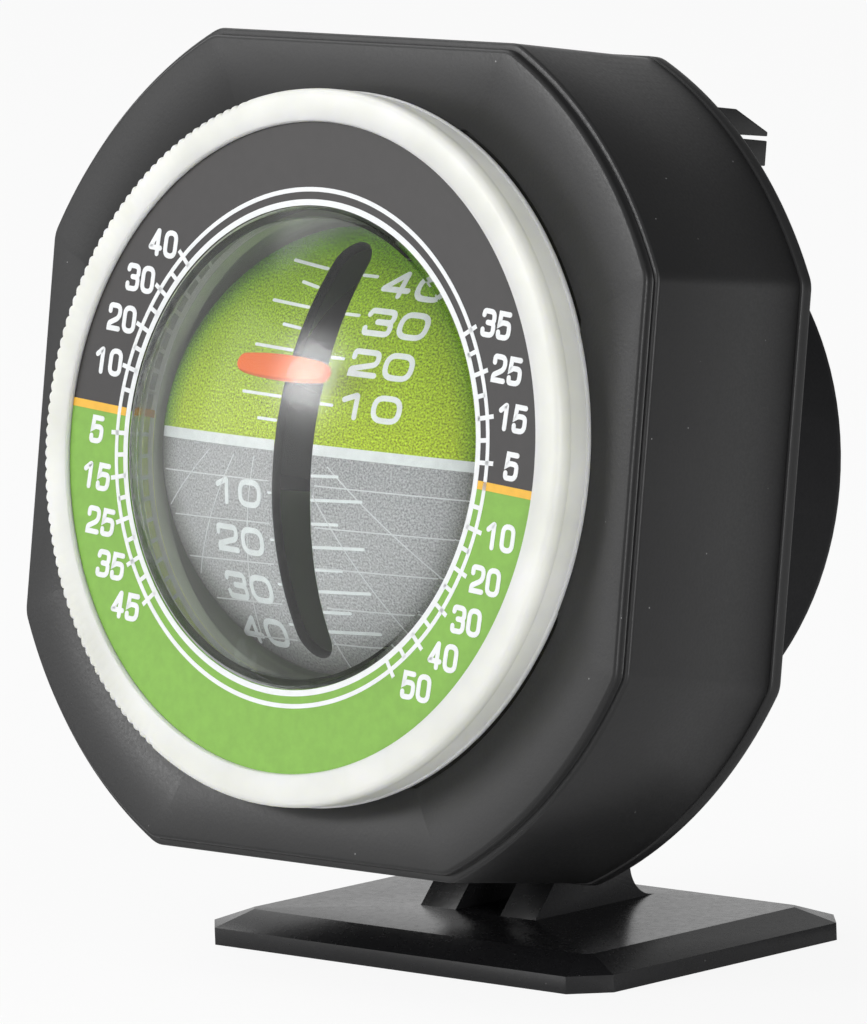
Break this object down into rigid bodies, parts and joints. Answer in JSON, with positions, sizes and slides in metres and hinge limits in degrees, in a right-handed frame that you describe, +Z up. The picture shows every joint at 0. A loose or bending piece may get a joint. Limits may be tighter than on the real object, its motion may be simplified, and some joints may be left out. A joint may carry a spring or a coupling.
{
  "type": "dial inclinometer",
  "caption": "Two-axis vehicle inclinometer: a globe dial under a clear dome shows roll and pitch, in a turning bezel, on a tilting bracket with a stick-on base plate.",
  "frame": {"origin": "centre of the base plate's underside, on the surface that it is stuck to", "axes": "+Z up from the surface, -Y towards the viewer of the dial, +X to the viewer's right"},
  "size_m": [0.0852, 0.0615, 0.096],
  "materials": {
    "base_plastic": "black moulded plastic with a semi-gloss top",
    "foam_tape": "grey foam tape",
    "bracket_steel": "plated steel",
    "case_plastic": "fine matte black plastic",
    "cover_plastic": "matte black plastic",
    "screw_steel": "plated steel",
    "clear_acrylic": "clear glossy acrylic",
    "gasket_rubber": "black rubber",
    "clamp_plastic": "grey-green plastic",
    "mechanism_plastic": "dark engineering plastic",
    "bush_brass": "turned brass",
    "luminous_plastic": "off-white luminous plastic",
    "dial_print": "satin printed dial",
    "globe_print": "grained print",
    "shaft_steel": "ground steel",
    "weight_brass": "turned brass",
    "pointer_black": "black plastic",
    "pointer_orange": "bright orange plastic"
  },
  "bodies": {
    "base": {"base_plate": "base_plastic", "adhesive_pad": "foam_tape", "pivot_screw": "bracket_steel", "pivot_washer": "bracket_steel", "pivot_nut": "bracket_steel"},
    "head": {"front_shell": "case_plastic", "back_cover": "cover_plastic", "cover_screws": "screw_steel", "instrument_can": "cover_plastic", "dome_lens": "clear_acrylic", "dome_gasket": "gasket_rubber", "dome_clamp_ring": "clamp_plastic", "bearing_block": "mechanism_plastic", "bearing_screws": "screw_steel", "roll_bushes": "bush_brass"},
    "bezel": {"bezel_ring": "luminous_plastic", "dial_plate": "dial_print", "bezel_retainer": "mechanism_plastic"},
    "globe": {"globe_face": "globe_print", "globe_yoke": "mechanism_plastic", "roll_shaft": "shaft_steel", "roll_weight": "weight_brass", "weight_screws": "screw_steel", "pitch_bushes": "bush_brass"},
    "pitch_pendulum": {"pitch_axle": "shaft_steel", "pointer_arm": "pointer_black", "pointer_flag": "pointer_orange", "pitch_weight": "weight_brass"}
  },
  "joints": [
    {"name": "head_tilt", "type": "hinge", "parent": "base", "child": "head", "pos_m": [-0.0017, 0.0041, 0.012], "axis": [-1, 0, 0], "range_deg": [-14, 45]},
    {"name": "bezel_turn", "type": "hinge", "parent": "head", "child": "bezel", "pos_m": [0, -0.02646, 0.05456], "axis": [0, 0.9866, -0.1633], "continuous": true},
    {"name": "globe_roll", "type": "hinge", "parent": "head", "child": "globe", "pos_m": [0, -0.01028, 0.05188], "axis": [0, 0.9866, -0.1633], "continuous": true},
    {"name": "pitch_swing", "type": "hinge", "parent": "globe", "child": "pitch_pendulum", "pos_m": [0, -0.01028, 0.05188], "axis": [-0.9995, 0.0053, 0.032], "range_deg": [-63.6, 26.4]}
  ]
}
